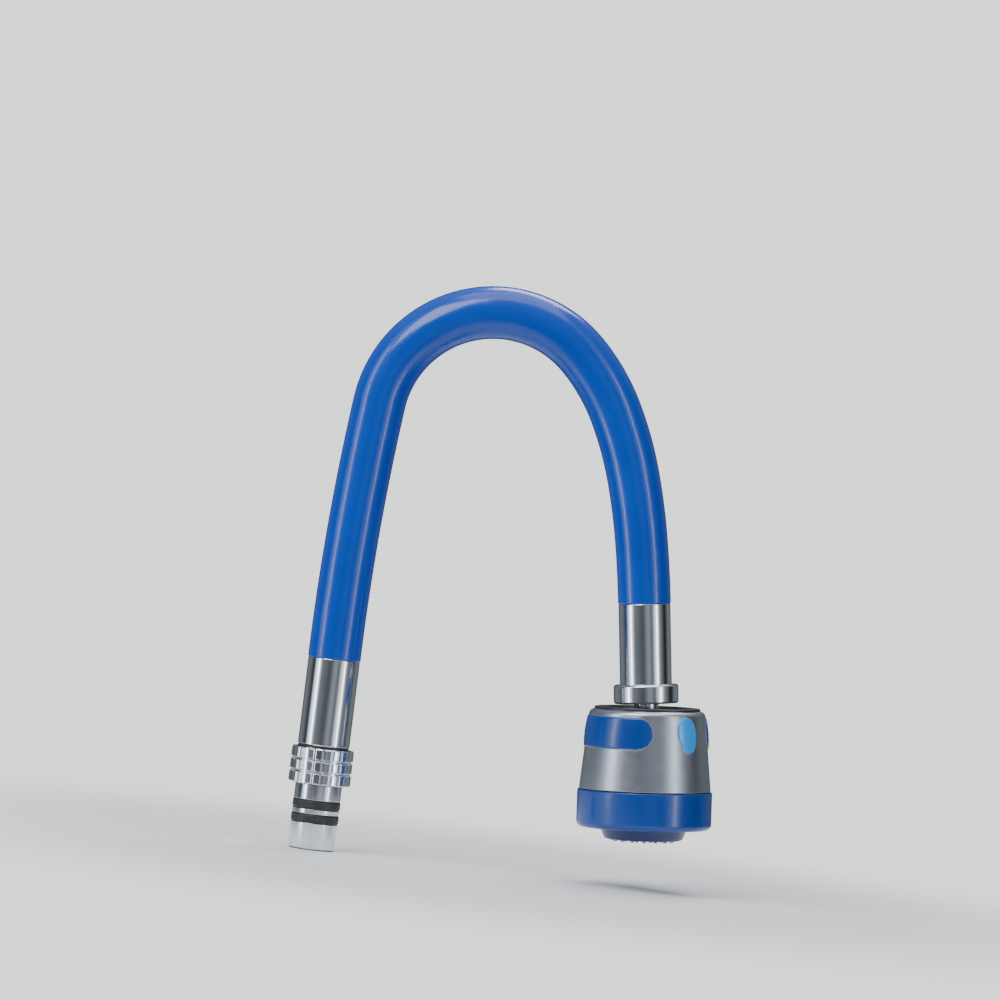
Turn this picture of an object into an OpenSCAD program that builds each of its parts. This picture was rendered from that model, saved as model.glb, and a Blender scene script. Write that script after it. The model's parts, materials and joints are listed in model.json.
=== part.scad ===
// Flexible-neck hand sprayer for bathing, washing and grooming.
// Origin: lower end of the inlet spigot, on its axis.
// +Z runs up the inlet, and the neck bends over towards +X.
// Every length is in millimetres and every angle in degrees.

/* [Inlet] */
// Radius of the spigot that plugs into the tap
spigot_r = 9; // [8.8:0.1:9.2]
// Length of the spigot below the union nut
spigot_l = 25; // [24:0.5:30]
// Outside radius of the union nut
nut_r = 12; // [11.8:0.1:13]
// Height of the union nut
nut_h = 13.8; // [13:0.2:16]
// Number of vertical flutes round the union nut
nut_flutes = 21; // [12:1:28]
// Length of the inlet ferrule
inlet_ferrule_l = 33.6; // [31:0.2:40]

/* [Neck] */
// Length of one neck link along its centreline
link_l = 25; // [24:0.5:28]
// Turn of each link of the inlet leg
leg_turn = 1.5; // [0.5:0.5:2]
// Turn of each link of the arch
arch_turn = 32; // [30:1:33]
// Turn of each link after the arch, as a share of the turn before it
arch_fade = 0.57; // [0.5:0.01:0.6]
// Outside radius of the neck sleeve
sleeve_r = 10.2; // [9.6:0.1:10.4]
// Outside radius of the steel gooseneck links
coil_r = 6.6; // [6.2:0.1:6.6]
// Outside radius of the water hose
hose_r = 4.9; // [4.5:0.1:4.9]
// Most that one neck link can turn on the next
link_tilt = 24; // [10:1:24]

/* [Outlet] */
// Length of the outlet ferrule
outlet_ferrule_l = 31; // [30:0.5:40]
// Outside radius of the swivel nut
swivel_nut_r = 12.5; // [11:0.1:12.8]
// Height of the swivel nut
swivel_nut_h = 7.3; // [6:0.1:9]
// Radius of the ball that the head tilts on
ball_r = 8; // [7.8:0.05:8]
// Lean of the head on its ball, at rest
head_lean = 3; // [-9:1:9]

/* [Head] */
// Radius of the bell under its shoulder
bell_top_r = 22.5; // [22.2:0.1:23.5]
// Radius of the bell at its lower edge
bell_low_r = 25.4; // [25:0.1:25.8]
// Outside radius of the mode ring
mode_ring_r = 26; // [25.9:0.1:28]
// Height of the mode ring
mode_ring_h = 14.5; // [12:0.1:15]
// Angle that a grip pad wraps round the bell
pad_wrap = 106; // [60:1:120]
// Height of a grip pad
pad_h = 12; // [9:0.5:12]
// Turn of the mode ring between the two sprays
mode_turn = 45; // [30:5:45]

/* [Hidden] */
$fn = 64;
eps = 0.5; // how far a cutter runs past the face that it cuts
fit_gap = 0.05; // between two fixed pieces that fit into each other
run_gap = 0.1; // between two pieces that turn on each other

// The neck is a gently bent leg, an arch of equal turns, and an outlet leg that straightens from link to link.
leg_links = 4;
arch_links = 4;
links = 12;
function link_turn(i) = i <= leg_links ? leg_turn
    : i <= leg_links + arch_links ? arch_turn
    : arch_fade * link_turn(i - 1);
turns = [for (i = [1 : links]) link_turn(i)];

ferrule_r = 10;
ferrule_bore_r = 9.3;
washer_t = 1;
nut_z = spigot_l;
washer_z = nut_z + nut_h;
ferrule_z = washer_z + washer_t;
neck_z = ferrule_z + inlet_ferrule_l;
tail_neck_r = 8.8;
tail_bore_r = 6;
tail_top = nut_z + 10.2; // top of the tail's flange
water_r = 2.8; // radius of the water way through the hose fittings
thread_r = 10.46; // minor radius of the M22 x 1 thread in the union nut
thread_pitch = 1;

seal_zs = [11.75, 17.1]; // heights of the two spigot seals
seal_h = 3.5;
seal_t = 1.7;
seal_round_r = 0.8; // rounding of a seal's outer edges

sleeve_bore_r = coil_r + 0.2;
tuck_l = 6; // length of sleeve held inside a ferrule
tuck_r = ferrule_bore_r - fit_gap;
coil_bore_r = hose_r + 0.4;
coil_gap = coil_r * tan(link_tilt / 2) + 0.2; // from the end of a coil link to the hinge beside it
coil_tuck_l = 7.4; // length of coil held inside a ferrule
ball_lip = 2.2; // how far a sleeve link's round end reaches past its hinge
relief_l = sleeve_r * sin(link_tilt - 8) + 1.3; // from the end of a sleeve link's full tube to its hinge
hose_bore_r = 3.6;
barb_r = hose_bore_r - fit_gap;
barb_l = 19;
crimp_l = 16;
hose_end_l = 26.4; // hose inside each ferrule

swivel_nut_z = outlet_ferrule_l;
disc_gap = 1.5; // between the swivel nut and the head
disc_drop = 9; // from the top of the head down to the ball's centre
ball_z = swivel_nut_z + swivel_nut_h + disc_gap + disc_drop;
ball_neck_r = 4.8;
liner_in_r = ball_r + 0.08;
liner_out_r = 9.6;
pocket_r = liner_out_r + run_gap;

// Heights in the head are counted down from the ball's centre.
head_top = -disc_drop;
bell_top = head_top + 1;
bell_bottom = 22.7;
bell_wall = 1.7;
shoulder_r = 2.2;
ring_top = 23;
ring_bottom = ring_top + mode_ring_h;
core_r = 15.2;
flange_r = 19.8;
flange_top = 15;
flange_bottom = 22;
cup_in_r = flange_r + run_gap;
cup_out_r = 22;
cup_floor = 25;
port_r = 2;
stream_port_at = 6; // distance of the stream port from the axis
spray_port_at = 14; // distance of the spray port, and of the detent, from the axis
disc_top = flange_bottom + run_gap;
disc_t = 2;
nozzle_r = 17;
nozzle_bottom = ring_bottom + 4.5;
nub_rings = [[8.6, 10], [11.6, 16]]; // each ring of spray nubs: its radius and its count
nub_r = 0.75;

pad_mid_z = 0.5;
pad_low_polar = -94; // polar angle where the first pad starts
oval_polar = -131; // polar angle of the first oval
oval_w = 9.5;
oval_h = 13.3;
oval_z = 1;
inlay_proud = 0.5;
inlay_deep = 0.8;

blue = [0.05, 0.36, 0.74];
deep_blue = [0.04, 0.2, 0.5];
cyan = [0.25, 0.7, 0.93];
chrome = [0.8, 0.82, 0.85];
satin = [0.56, 0.6, 0.65];
black = [0.05, 0.05, 0.06];
steel = [0.6, 0.6, 0.62];
white = [0.9, 0.9, 0.88];

// Radius of a link's centreline
function bend_r(t) = link_l * 180 / (PI * t);
function heading(i) = i == 0 ? 0 : heading(i - 1) + turns[i - 1];
// Point and heading at distance s along a link that turns by t, in the link's own frame
function link_point(t, s) =
    let (a = t * s / link_l) [bend_r(t) * (1 - cos(a)), 0, bend_r(t) * sin(a)];
function turned(v, a) = [v.x * cos(a) + v.z * sin(a), v.y, v.z * cos(a) - v.x * sin(a)];
function hinge_at(i) = i == 0 ? [0, 0, neck_z]
    : hinge_at(i - 1) + turned(link_point(turns[i - 1], link_l), heading(i - 1));

// Places children at hinge i of the neck; hinge 0 is the inlet end
module at_hinge(i) {
    translate(hinge_at(i)) rotate([0, heading(i), 0]) children();
}

// Places children at distance s along a link that turns by t
module along(t, s) {
    translate(link_point(t, s)) rotate([0, t * s / link_l, 0]) children();
}

// Sweeps a flat outline along the first length l of a link that turns by t
module swept(t, l) {
    translate([bend_r(t), 0, 0]) rotate([90, 0, 180])
        rotate_extrude(angle = t * l / link_l) translate([bend_r(t), 0]) children();
}

module at_head() {
    at_hinge(links) translate([0, 0, ball_z]) rotate([0, head_lean, 0]) children();
}

module ring2d(r_out, r_in) {
    difference() {
        circle(r_out);
        circle(r_in);
    }
}

// Plain ring from height z0 to height z1
module ring(r_out, r_in, z0, z1) {
    translate([0, 0, z0]) linear_extrude(z1 - z0) ring2d(r_out, r_in);
}

// Part of a ball-shaped shell between heights z0 and z1
module ball_zone(r_out, r_in, z0, z1) {
    rotate_extrude() intersection() {
        ring2d(r_out, r_in);
        translate([0, z0]) square([r_out + eps, z1 - z0]);
    }
}

// ---- Inlet ----

module inlet_tail() {
    flange_r = 10.2;
    flange_z = nut_z + 7;
    color(chrome) rotate_extrude() difference() {
        polygon([
            [tail_bore_r, 0], [spigot_r, 0], [spigot_r, nut_z - 0.4], [tail_neck_r, nut_z],
            [tail_neck_r, flange_z], [flange_r, flange_z + 0.4], [flange_r, tail_top], [tail_bore_r, tail_top]]);
        for (z = seal_zs)
            translate([spigot_r - seal_t - 0.1, z - seal_h / 2 - fit_gap]) square([3, seal_h + 2 * fit_gap]);
    }
}

// Stem that is pressed into the tail's bore and runs up into the hose
module hose_barb() {
    plug_l = 4;
    plug_r = tail_bore_r - fit_gap;
    barb_z = ferrule_z + 6.2;
    color(chrome) rotate_extrude() polygon([
        [water_r, tail_top - plug_l], [plug_r, tail_top - plug_l], [plug_r, tail_top],
        [tail_neck_r, tail_top], [tail_neck_r, barb_z], [barb_r, barb_z], [barb_r, barb_z + barb_l],
        [water_r, barb_z + barb_l]]);
}

// Two flat seals with rounded outer edges, in the spigot's grooves
module spigot_seals() {
    outer_r = spigot_r - fit_gap;
    color(black) for (z = seal_zs)
        translate([0, 0, z - seal_h / 2]) rotate_extrude() polygon(concat(
            [[outer_r - seal_t, 0]],
            [for (end = [0, 1], a = [-90 : 15 : 0])
                [outer_r - seal_round_r * (1 - cos(a + 90 * end)),
                    end * seal_h + seal_round_r * (1 - 2 * end + sin(a + 90 * end))]],
            [[outer_r - seal_t, seal_h]]));
}

module slip_washer() {
    color(black) ring(ferrule_r - 0.2, tail_neck_r + fit_gap, washer_z + run_gap, ferrule_z);
}

module inlet_ferrule() {
    color(chrome) rotate_extrude() polygon([
        [tail_neck_r + fit_gap, ferrule_z], [ferrule_r - 0.3, ferrule_z], [ferrule_r, ferrule_z + 0.3],
        [ferrule_r, neck_z - 0.3], [ferrule_r - 0.3, neck_z], [ferrule_bore_r, neck_z],
        [ferrule_bore_r, ferrule_z + 6.2], [tail_neck_r + fit_gap, ferrule_z + 6.2]]);
}

module crimp(z) {
    color(steel) ring(hose_r + 1.1, hose_r + fit_gap, z, z + crimp_l);
}

module inlet_crimp() {
    crimp(ferrule_z + 8);
}

module nut_outline() {
    lip_z = tail_top + run_gap; // underside of the lip that pulls on the tail's flange
    difference() {
        polygon([
            [thread_r, nut_z], [nut_r - 0.5, nut_z], [nut_r, nut_z + 0.5], [nut_r, washer_z - 0.5],
            [nut_r - 0.5, washer_z], [tail_neck_r + run_gap, washer_z], [tail_neck_r + run_gap, lip_z],
            [thread_r, lip_z]]);
        for (k = [1, 2])
            translate([nut_r - 0.6, nut_z + k * nut_h / 3 - 0.4]) square([1, 0.8]);
        for (k = [0 : 4])
            translate([thread_r - eps, nut_z + 1 + k * thread_pitch]) square([eps + 0.45, thread_pitch / 2]);
    }
}

module union_nut() {
    color(chrome) difference() {
        rotate_extrude() nut_outline();
        for (k = [0 : nut_flutes - 1])
            rotate(k * 360 / nut_flutes) translate([nut_r - 0.5, -0.5, nut_z - eps]) cube([2, 1, nut_h + 2 * eps]);
    }
}

// ---- Neck ----

// Round end of a link, which the next link's cup slides over.
// Its mouth flares, so that the next link's coil can swing.
module round_end() {
    root_z = -relief_l - 1.6; // inside the tube's wall
    mouth_r = sleeve_bore_r + 0.2;
    rotate_extrude() intersection() {
        circle(sleeve_r);
        polygon([
            [mouth_r, root_z], [sleeve_r + 1, root_z], [sleeve_r + 1, ball_lip],
            [mouth_r + 1.5, ball_lip], [mouth_r, -1.4]]);
    }
}

module sleeve_link(i) {
    t = turns[i - 1];
    first = i == 1;
    last = i == links;
    color(blue) at_hinge(i - 1) {
        difference() {
            swept(t, last ? link_l : link_l - relief_l) ring2d(sleeve_r, sleeve_bore_r);
            if (!first)
                sphere(sleeve_r + run_gap);
        }
        if (first)
            ring(tuck_r, sleeve_bore_r, -tuck_l, 0);
        along(t, link_l) {
            if (last)
                ring(tuck_r, sleeve_bore_r, 0, tuck_l);
            else
                round_end();
        }
    }
}

module coil_link(i) {
    t = turns[i - 1];
    first = i == 1;
    last = i == links;
    grooves = 7;
    color(steel) at_hinge(i - 1) difference() {
        union() {
            swept(t, link_l) ring2d(coil_r, coil_bore_r);
            if (first)
                ring(coil_r - fit_gap, coil_bore_r + fit_gap, -coil_tuck_l, eps);
            if (last)
                along(t, link_l) ring(coil_r - fit_gap, coil_bore_r + fit_gap, -eps, coil_tuck_l);
        }
        if (!first)
            translate([0, 0, coil_gap - 5]) cylinder(h = 5, r = coil_r + 1);
        if (!last)
            along(t, link_l - coil_gap) cylinder(h = 5, r = coil_r + 1);
        for (k = [1 : grooves])
            along(t, k * link_l / (grooves + 1)) ring(coil_r + 1, coil_r - 0.5, -0.4, 0.4);
    }
}

// Point p of a frame on the neck: at distance s along link i, which starts at hinge i
function on_neck(i, s, p) = hinge_at(i) + turned(
    link_point(turns[i], s) + turned(p, turns[i] * s / link_l), heading(i));

// One hose from ferrule to ferrule, swept as a polyhedron with an outer and an inner wall
module inner_hose() {
    sides = 12;
    steps = 4; // rings in each link
    stations = concat([[0, 0, -hose_end_l]],
        [for (i = [0 : links - 1], k = [0 : steps - 1]) [i, k * link_l / steps, 0]],
        [[links - 1, link_l, 0], [links - 1, link_l, hose_end_l]]);
    rings = len(stations);
    bore_corner_r = hose_bore_r / cos(180 / sides); // its flats then clear the barbs
    points = [for (r = [hose_r, bore_corner_r], st = stations, j = [0 : sides - 1])
        on_neck(st[0], st[1], [r * cos(360 * j / sides), r * sin(360 * j / sides), st[2]])];
    walls = [for (k = [0 : rings - 2], j = [0 : sides - 1])
        let (n = (j + 1) % sides) [k * sides + j, (k + 1) * sides + j, (k + 1) * sides + n, k * sides + n]];
    bore = [for (w = walls) [for (v = [3 : -1 : 0]) w[v] + rings * sides]];
    rims = [for (j = [0 : sides - 1], k = [0, rings - 1])
        let (n = (j + 1) % sides, out = k * sides, in = (rings + k) * sides,
            rim = [out + j, out + n, in + n, in + j])
            k == 0 ? rim : [for (v = [3 : -1 : 0]) rim[v]]];
    color(white) polyhedron(points, concat(walls, bore, rims));
}

// ---- Outlet ----

module outlet_ferrule() {
    color(chrome) at_hinge(links) rotate_extrude() polygon([
        [ferrule_bore_r, 0], [ferrule_r - 0.3, 0], [ferrule_r, 0.3], [ferrule_r, outlet_ferrule_l],
        [ferrule_bore_r, outlet_ferrule_l]]);
}

module outlet_crimp() {
    at_hinge(links) crimp(8.4);
}

module swivel_nut() {
    nut_bottom = swivel_nut_z + swivel_nut_h;
    color(chrome) at_hinge(links) rotate_extrude() polygon([
        [ferrule_bore_r, swivel_nut_z], [swivel_nut_r - 1, swivel_nut_z], [swivel_nut_r, swivel_nut_z + 1],
        [swivel_nut_r, nut_bottom - 0.8], [swivel_nut_r - 0.8, nut_bottom], [ferrule_bore_r, nut_bottom]]);
}

module ball_stub() {
    stub_r = ferrule_bore_r - fit_gap;
    stub_top = hose_end_l + 0.3;
    nut_bottom = swivel_nut_z + swivel_nut_h;
    color(chrome) at_hinge(links) rotate_extrude() intersection() {
        union() {
            polygon([
                [0, stub_top - barb_l], [barb_r, stub_top - barb_l], [barb_r, stub_top], [stub_r, stub_top],
                [stub_r, nut_bottom], [ball_neck_r, nut_bottom], [ball_neck_r, ball_z], [0, ball_z]]);
            translate([0, ball_z]) circle(ball_r);
        }
        translate([water_r, 0]) square([ferrule_r, ball_z + ball_r - 1.2]);
    }
}

// ---- Ball liners ----

module ball_ring() {
    color(white) at_head() ball_zone(liner_out_r, liner_in_r, -4.2, -1.6);
}

module ball_seat() {
    color(white) at_head() ball_zone(liner_out_r, liner_in_r, 1, 5.5);
}

// ---- Head ----

module top_cap() {
    well_r = 15.8;
    well_z = head_top + 1.8;
    mouth_r = 7.2;
    plug_r = 16.9;
    color(black) at_head() rotate_extrude() difference() {
        polygon([
            [well_r, head_top], [20, head_top], [20.4, head_top + 0.4], [20.4, bell_top], [plug_r, bell_top],
            [plug_r, head_top + 3.8], [12.6, head_top + 3.8], [12.6, 0], [mouth_r, 0], [mouth_r, well_z],
            [well_r - 1, well_z]]);
        circle(pocket_r);
    }
}

// Radius of the bell's outside at height z
function bell_r(z) = bell_top_r
    + (bell_low_r - bell_top_r) * (z - bell_top - shoulder_r) / (bell_bottom - bell_top - shoulder_r);

// Half outline of the bell's outside, grown by g
module bell_solid(g) {
    shoulder_z = bell_top + shoulder_r;
    polygon(concat(
        [[0, bell_top - g]],
        [for (a = [0 : 15 : 90])
            [bell_top_r - shoulder_r + (shoulder_r + g) * sin(a), shoulder_z - (shoulder_r + g) * cos(a)]],
        [[bell_low_r + g, bell_bottom], [0, bell_bottom]]));
}

// Solid between two offsets of the bell's outside, which inlays are cut from
module bell_skin(g_out, g_in) {
    rotate_extrude() difference() {
        bell_solid(g_out);
        bell_solid(g_in);
    }
}

// Block that gives one grip pad its outline, a slot with round ends wrapped round the bell
module pad_block() {
    r = bell_r(pad_mid_z);
    end_r = pad_h / 2;
    half_flat = pad_wrap / 2 * PI * r / 180 - end_r; // along the bell, from the pad's middle to its round end
    rotate([0, 0, pad_low_polar + pad_wrap / 2]) translate([5, 0, pad_mid_z]) rotate([90, 0, 90])
        linear_extrude(25) polygon([for (side = [-1, 1], a = [-90 : 15 : 90])
            [side * r * sin((half_flat + end_r * cos(a)) * 180 / (PI * r)), side * end_r * sin(a)]]);
}

module oval_block() {
    rise = (oval_h - oval_w) / 2;
    rotate(oval_polar) {
        translate([10, -oval_w / 2, oval_z - rise]) cube([20, oval_w, 2 * rise]);
        for (z = [oval_z - rise, oval_z + rise])
            translate([10, 0, z]) rotate([0, 90, 0]) cylinder(h = 20, r = oval_w / 2);
    }
}

module grip_pads() {
    color(blue) at_head() for (a = [0, 180])
        rotate(a) intersection() {
            bell_skin(inlay_proud, -inlay_deep);
            pad_block();
        }
}

module accent_ovals() {
    color(cyan) at_head() for (a = [0, 180])
        rotate(a) intersection() {
            bell_skin(inlay_proud, -inlay_deep);
            oval_block();
        }
}

module bell_shell() {
    color(satin) at_head() difference() {
        rotate_extrude() difference() {
            bell_solid(0);
            polygon([[0, bell_bottom + eps], [bell_low_r - bell_wall, bell_bottom + eps],
                [bell_top_r - bell_wall - 0.1, bell_top + 3.2], [bell_top_r - bell_wall - 0.4, bell_top + 1.8],
                [0, bell_top + 1.8]]);
            square([34, 200], center = true);
        }
        for (a = [0, 180])
            rotate(a) intersection() {
                bell_skin(inlay_proud + 1, -inlay_deep);
                union() {
                    pad_block();
                    oval_block();
                }
            }
    }
}

module core_profile() {
    difference() {
        polygon([
            [0, 0], [12.7, 0], [12.7, -4.8], [17.2, -4.8], [17.2, bell_top + 1.9], [20, bell_top + 1.9],
            [20, -3.3], [core_r, -3.3], [core_r, flange_top], [flange_r, flange_top],
            [flange_r, flange_bottom], [0, flange_bottom]]);
        circle(pocket_r);
        translate([-1, 0]) square([5, 17]);
        translate([-1, 16.5]) square([17, 2.3]);
        translate([flange_r - 1.8, 17.3]) square([3, 2.4]);
    }
}

module water_core() {
    color(white) at_head() difference() {
        rotate_extrude() core_profile();
        translate([stream_port_at, 0, 18]) cylinder(h = 5, r = port_r);
        translate([-spray_port_at, 0, 18]) cylinder(h = 5, r = port_r - 0.3);
        translate([stream_port_at, 0, flange_bottom - 1.6]) cylinder(h = 2, r = port_r + 1);
        translate([-spray_port_at, 0, flange_bottom - 1.6]) cylinder(h = 2, r = port_r + 1);
        translate([0, spray_port_at, flange_bottom - 2.6]) cylinder(h = 3, r = 1.6);
    }
}

module filter_screen() {
    color(steel) at_head() difference() {
        translate([0, 0, 11]) cylinder(h = 0.8, r = 3.95);
        for (k = [0 : 5])
            rotate(k * 60) translate([2.2, 0, 10]) cylinder(h = 3, r = 0.7);
        translate([0, 0, 10]) cylinder(h = 3, r = 0.7);
    }
}

module core_seal() {
    seal_w = 1.8;
    color(black) at_head() translate([0, 0, 18.5])
        rotate_extrude() translate([flange_r - seal_w / 2, 0]) circle(seal_w / 2);
}

module port_seals() {
    color(black) at_head() for (x = [stream_port_at, -spray_port_at])
        translate([x, 0, 0]) ring(port_r + 0.95, port_r - 0.3, flange_bottom - 1.6, flange_bottom);
}

module detent_ball() {
    color(steel) at_head() translate([0, spray_port_at, flange_bottom - 0.1]) sphere(1.4);
}

// Short coil spring, swept as a polyhedron
module detent_spring() {
    turns_n = 3;
    steps = 16 * turns_n;
    sides = 6;
    wire_r = 0.14;
    coil_mid_r = 1.2;
    z0 = flange_bottom - 2.4;
    rise = 0.75;
    points = [for (s = [0 : steps], j = [0 : sides - 1])
        let (a = 360 * turns_n * s / steps, b = 360 * j / sides, r = coil_mid_r + wire_r * cos(b))
            [r * cos(a), r * sin(a), z0 + rise * s / steps + wire_r * sin(b)]];
    walls = [for (s = [0 : steps - 1], j = [0 : sides - 1])
        let (n = (j + 1) % sides, p = s * sides) [p + j, p + sides + j, p + sides + n, p + n]];
    ends = [[for (j = [0 : sides - 1]) j], [for (j = [sides - 1 : -1 : 0]) steps * sides + j]];
    color(steel) at_head() translate([0, spray_port_at, 0]) polyhedron(points, concat(walls, ends));
}

// ---- Spray face, which turns with the mode ring ----

module mode_ring() {
    round_r = 2.2;
    color(blue) at_head() rotate_extrude() polygon(concat(
        [[cup_out_r + fit_gap, ring_top], [mode_ring_r - 0.5, ring_top], [mode_ring_r, ring_top + 0.5]],
        [for (a = [0 : 15 : 90])
            [mode_ring_r - round_r + round_r * cos(a), ring_bottom - round_r + round_r * sin(a)]],
        [[nozzle_r + 0.4, ring_bottom], [nozzle_r + 0.4, ring_bottom - 2],
            [cup_out_r + fit_gap, ring_bottom - 2]]));
}

module retaining_collar() {
    color(white) at_head() ring(cup_out_r, core_r + 0.8, flange_top - 2.4, flange_top - run_gap);
}

module spray_cup() {
    color(white) at_head() difference() {
        union() {
            ring(cup_out_r, cup_in_r, flange_top - run_gap, cup_floor + 1);
            translate([0, 0, cup_floor]) cylinder(h = 2.5, r = cup_out_r);
            ring(11, 9.5, disc_top + disc_t, cup_floor + 1);
            translate([0, 0, cup_floor + 1]) cylinder(h = 7, r = 6.8);
        }
        translate([0, 0, cup_floor - 1]) cylinder(h = 12, r = 5.6);
        for (k = [0 : 7])
            rotate(k * 45) translate([15, 0, cup_floor - 1]) cylinder(h = 5, r = 1.8);
    }
}

module diverter_disc() {
    track_spare = 8; // angle of detent track past the ball at each end
    color(steel) at_head() difference() {
        translate([0, 0, disc_top]) cylinder(h = disc_t, r = cup_in_r - 0.2);
        translate([stream_port_at, 0, disc_top - 1]) cylinder(h = disc_t + 2, r = port_r);
        rotate(180 - mode_turn) translate([spray_port_at, 0, disc_top - 1]) cylinder(h = disc_t + 2, r = port_r);
        rotate(90 - mode_turn - track_spare) rotate_extrude(angle = mode_turn + 2 * track_spare)
            translate([spray_port_at - 1.7, disc_top - eps]) square([3.4, 1.4 + eps]);
    }
}

module diverter_seal() {
    color(black) at_head() ring(cup_in_r - 0.2, 17.4, disc_top + disc_t, cup_floor);
}

module nub_holes(r) {
    for (n = nub_rings, k = [0 : n[1] - 1])
        rotate(k * 360 / n[1]) translate([n[0], 0, 30]) cylinder(h = 20, r = r);
}

module nozzle_plate() {
    color(deep_blue) at_head() difference() {
        rotate_extrude() polygon([
            [12.8, cup_floor + 2.6], [cup_out_r - 0.2, cup_floor + 2.6], [cup_out_r - 0.2, cup_floor + 4.6],
            [nozzle_r, cup_floor + 4.6], [nozzle_r, ring_bottom - 0.5], [15, nozzle_bottom - 0.8],
            [14.2, nozzle_bottom], [5.6, nozzle_bottom], [5.6, nozzle_bottom - 1.5],
            [12.8, nozzle_bottom - 1.5]]);
        nub_holes(nub_r + fit_gap);
    }
}

module nozzle_mat() {
    mat_top = nozzle_bottom - 2.5;
    color(black) at_head() difference() {
        union() {
            ring(12.7, 6.9, mat_top, nozzle_bottom - 1.5);
            intersection() {
                nub_holes(nub_r);
                ring(nozzle_r, 6, mat_top + 0.2, nozzle_bottom + 0.6);
            }
        }
        nub_holes(0.35);
    }
}

module aerator_body() {
    color(chrome) at_head() ring(5.5, 4.4, cup_floor + 4, nozzle_bottom - 0.2);
}

module aerator_screen() {
    color(steel) at_head() difference() {
        translate([0, 0, nozzle_bottom - 1.6]) cylinder(h = 0.5, r = 4.35);
        for (n = [[0, 1], [1.5, 6], [3, 12]], k = [0 : n[1] - 1])
            rotate(k * 360 / n[1]) translate([n[0], 0, nozzle_bottom - 3]) cylinder(h = 4, r = 0.5);
    }
}

inlet_tail();
hose_barb();
spigot_seals();
slip_washer();
inlet_ferrule();
inlet_crimp();
union_nut();
inner_hose();
sleeve_link(1);  // sleeve_01
sleeve_link(2);  // sleeve_02
sleeve_link(3);  // sleeve_03
sleeve_link(4);  // sleeve_04
sleeve_link(5);  // sleeve_05
sleeve_link(6);  // sleeve_06
sleeve_link(7);  // sleeve_07
sleeve_link(8);  // sleeve_08
sleeve_link(9);  // sleeve_09
sleeve_link(10);  // sleeve_10
sleeve_link(11);  // sleeve_11
sleeve_link(12);  // sleeve_12
coil_link(1);  // coil_01
coil_link(2);  // coil_02
coil_link(3);  // coil_03
coil_link(4);  // coil_04
coil_link(5);  // coil_05
coil_link(6);  // coil_06
coil_link(7);  // coil_07
coil_link(8);  // coil_08
coil_link(9);  // coil_09
coil_link(10);  // coil_10
coil_link(11);  // coil_11
coil_link(12);  // coil_12
outlet_ferrule();
outlet_crimp();
swivel_nut();
ball_stub();
ball_ring();
ball_seat();
top_cap();
bell_shell();
grip_pads();
accent_ovals();
water_core();
filter_screen();
core_seal();
port_seals();
detent_ball();
detent_spring();
mode_ring();
retaining_collar();
spray_cup();
diverter_disc();
diverter_seal();
nozzle_plate();
nozzle_mat();
aerator_body();
aerator_screen();
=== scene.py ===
"""Looks for the handheld bath sprayer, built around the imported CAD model."""

import json
import math

import bmesh
import bpy
import numpy as np
from mathutils import Matrix, Vector


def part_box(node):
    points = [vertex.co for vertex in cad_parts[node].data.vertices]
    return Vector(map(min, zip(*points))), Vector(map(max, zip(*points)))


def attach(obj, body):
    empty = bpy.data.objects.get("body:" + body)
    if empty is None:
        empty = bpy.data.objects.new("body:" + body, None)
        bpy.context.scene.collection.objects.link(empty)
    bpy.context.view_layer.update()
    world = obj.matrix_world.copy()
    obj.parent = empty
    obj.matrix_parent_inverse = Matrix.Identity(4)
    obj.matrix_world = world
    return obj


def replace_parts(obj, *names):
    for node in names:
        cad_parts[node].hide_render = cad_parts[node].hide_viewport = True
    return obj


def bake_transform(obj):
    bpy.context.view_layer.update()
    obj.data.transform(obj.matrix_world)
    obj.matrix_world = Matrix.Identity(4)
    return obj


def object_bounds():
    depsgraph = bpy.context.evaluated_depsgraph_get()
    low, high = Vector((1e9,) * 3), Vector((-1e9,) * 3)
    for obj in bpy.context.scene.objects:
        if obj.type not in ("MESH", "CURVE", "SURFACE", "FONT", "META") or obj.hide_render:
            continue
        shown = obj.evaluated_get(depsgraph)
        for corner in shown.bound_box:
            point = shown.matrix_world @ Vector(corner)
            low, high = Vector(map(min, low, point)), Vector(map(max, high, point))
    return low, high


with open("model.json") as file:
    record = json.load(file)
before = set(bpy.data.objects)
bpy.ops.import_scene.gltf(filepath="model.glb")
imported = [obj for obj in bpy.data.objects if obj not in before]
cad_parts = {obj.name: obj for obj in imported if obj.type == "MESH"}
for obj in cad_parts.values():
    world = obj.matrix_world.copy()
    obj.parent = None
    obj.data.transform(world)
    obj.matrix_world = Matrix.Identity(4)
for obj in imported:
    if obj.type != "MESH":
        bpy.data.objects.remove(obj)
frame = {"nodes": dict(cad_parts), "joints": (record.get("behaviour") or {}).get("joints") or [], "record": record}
cad_low, cad_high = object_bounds()

MM = 0.001
TAU = 2 * math.pi


# ---- Camera, floor and lights ----

def make_camera():
    """Two metres in front and level, rolled a little, because the inlet leans in the view."""
    distance, roll = 2.0, math.radians(7)
    aim = (cad_low + cad_high) / 2 + Vector((-0.014, 0, 0.030))
    camera = bpy.data.objects.new("camera", bpy.data.cameras.new("camera"))
    camera.data.lens = 187.2
    camera.data.sensor_width = 36
    right = Vector((math.cos(roll), 0, math.sin(roll)))
    up = Vector((-math.sin(roll), 0, math.cos(roll)))
    place = Matrix((right, up, right.cross(up))).transposed().to_4x4()
    place.translation = Vector((aim.x, -distance, aim.z))
    camera.matrix_world = place
    bpy.context.scene.collection.objects.link(camera)
    bpy.context.scene.camera = camera


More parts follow.
